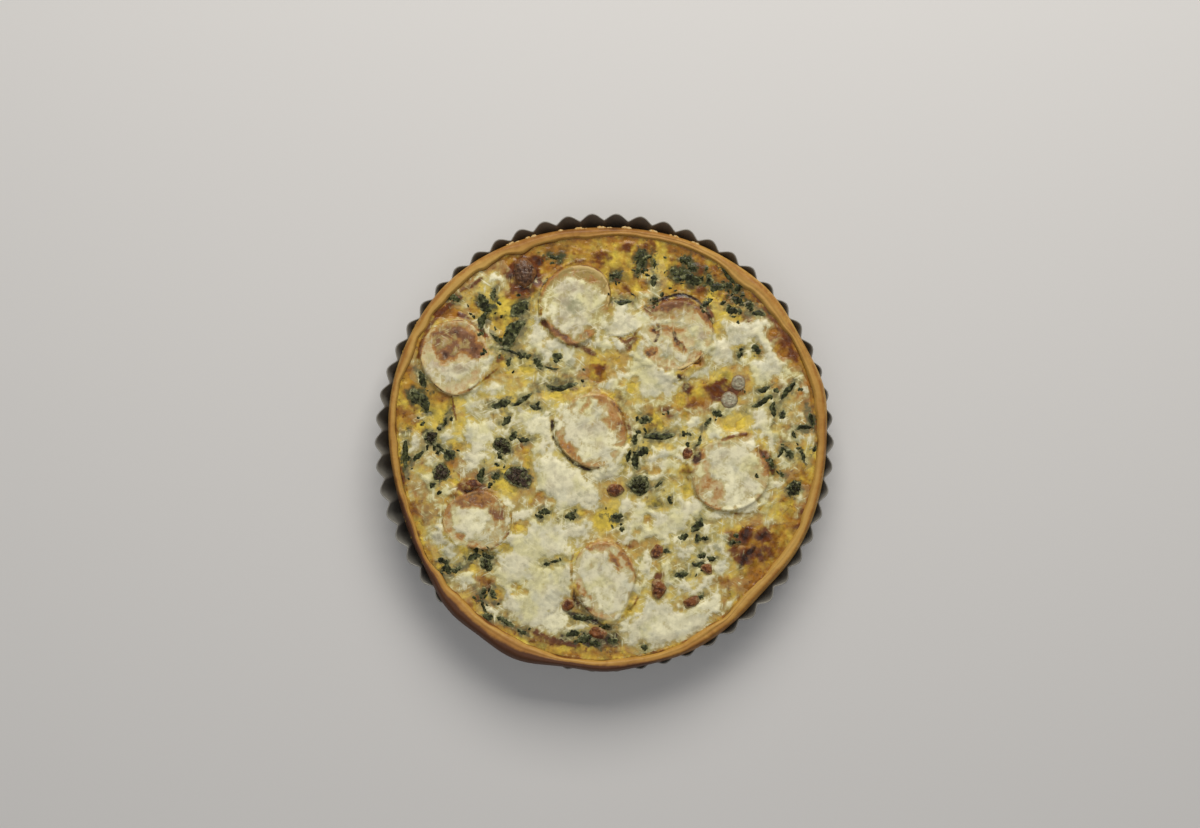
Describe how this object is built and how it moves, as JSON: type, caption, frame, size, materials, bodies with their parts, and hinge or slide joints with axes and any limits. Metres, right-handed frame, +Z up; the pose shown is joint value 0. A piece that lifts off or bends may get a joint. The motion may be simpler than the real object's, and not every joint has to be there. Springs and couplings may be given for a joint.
{
  "type": "quiche",
  "caption": "Round baked quiche with a shortcrust rim, custard, cheese slices, grated cheese, spinach and lardons, in its fluted tin.",
  "frame": {"origin": "centre of the tin's flat base, on the surface it stands on", "axes": "+Z up through the middle of the quiche; +X and +Y lie in the base, +Y towards the side where the pastry has shrunk furthest from the tin"},
  "size_m": [0.28, 0.2796, 0.0411],
  "materials": {
    "tin": "matte dark non-stick coating",
    "pastry": "baked shortcrust pastry, dry and slightly rough",
    "custard": "baked egg custard, yellow with browned patches, slightly glossy",
    "rind": "soft cheese slice with a thin baked rind",
    "cheese": "melted grated cheese, soft and off-white",
    "lardon": "browned bacon, slightly greasy",
    "browned_onion": "dark caramelised onion, grainy and glossy",
    "spinach": "wilted dark green leaf, moist",
    "onion": "translucent cooked onion"
  },
  "bodies": {
    "root": {"tin": "tin", "crust": "pastry", "filling": "custard", "slice_1": "rind", "slice_2": "rind", "slice_3": "rind", "slice_4": "rind", "slice_5": "rind", "slice_6": "rind", "slice_7": "rind", "topping_1": "cheese", "topping_2": "cheese", "topping_3": "cheese", "topping_4": "cheese", "topping_5": "cheese", "topping_6": "cheese", "topping_7": "cheese", "drift_1": "cheese", "drift_2": "cheese", "drift_3": "cheese", "drift_4": "cheese", "drift_5": "cheese", "drift_6": "cheese", "drift_7": "cheese", "drift_8": "cheese", "drift_9": "cheese", "drift_10": "cheese", "drift_11": "cheese", "drift_12": "cheese", "drift_13": "cheese", "drift_14": "cheese", "drift_15": "cheese", "drift_16": "cheese", "drift_17": "cheese", "drift_18": "cheese", "lardon_1": "lardon", "lardon_2": "lardon", "lardon_3": "lardon", "lardon_4": "lardon", "lardon_5": "lardon", "lardon_6": "lardon", "lardon_7": "lardon", "lardon_8": "lardon", "lardon_9": "lardon", "browned_onion_1": "browned_onion", "spinach_1": "spinach", "spinach_2": "spinach", "spinach_3": "spinach", "spinach_4": "spinach", "spinach_5": "spinach", "spinach_6": "spinach", "spinach_7": "spinach", "onion_1": "onion", "onion_2": "onion"}
  },
  "joints": []
}
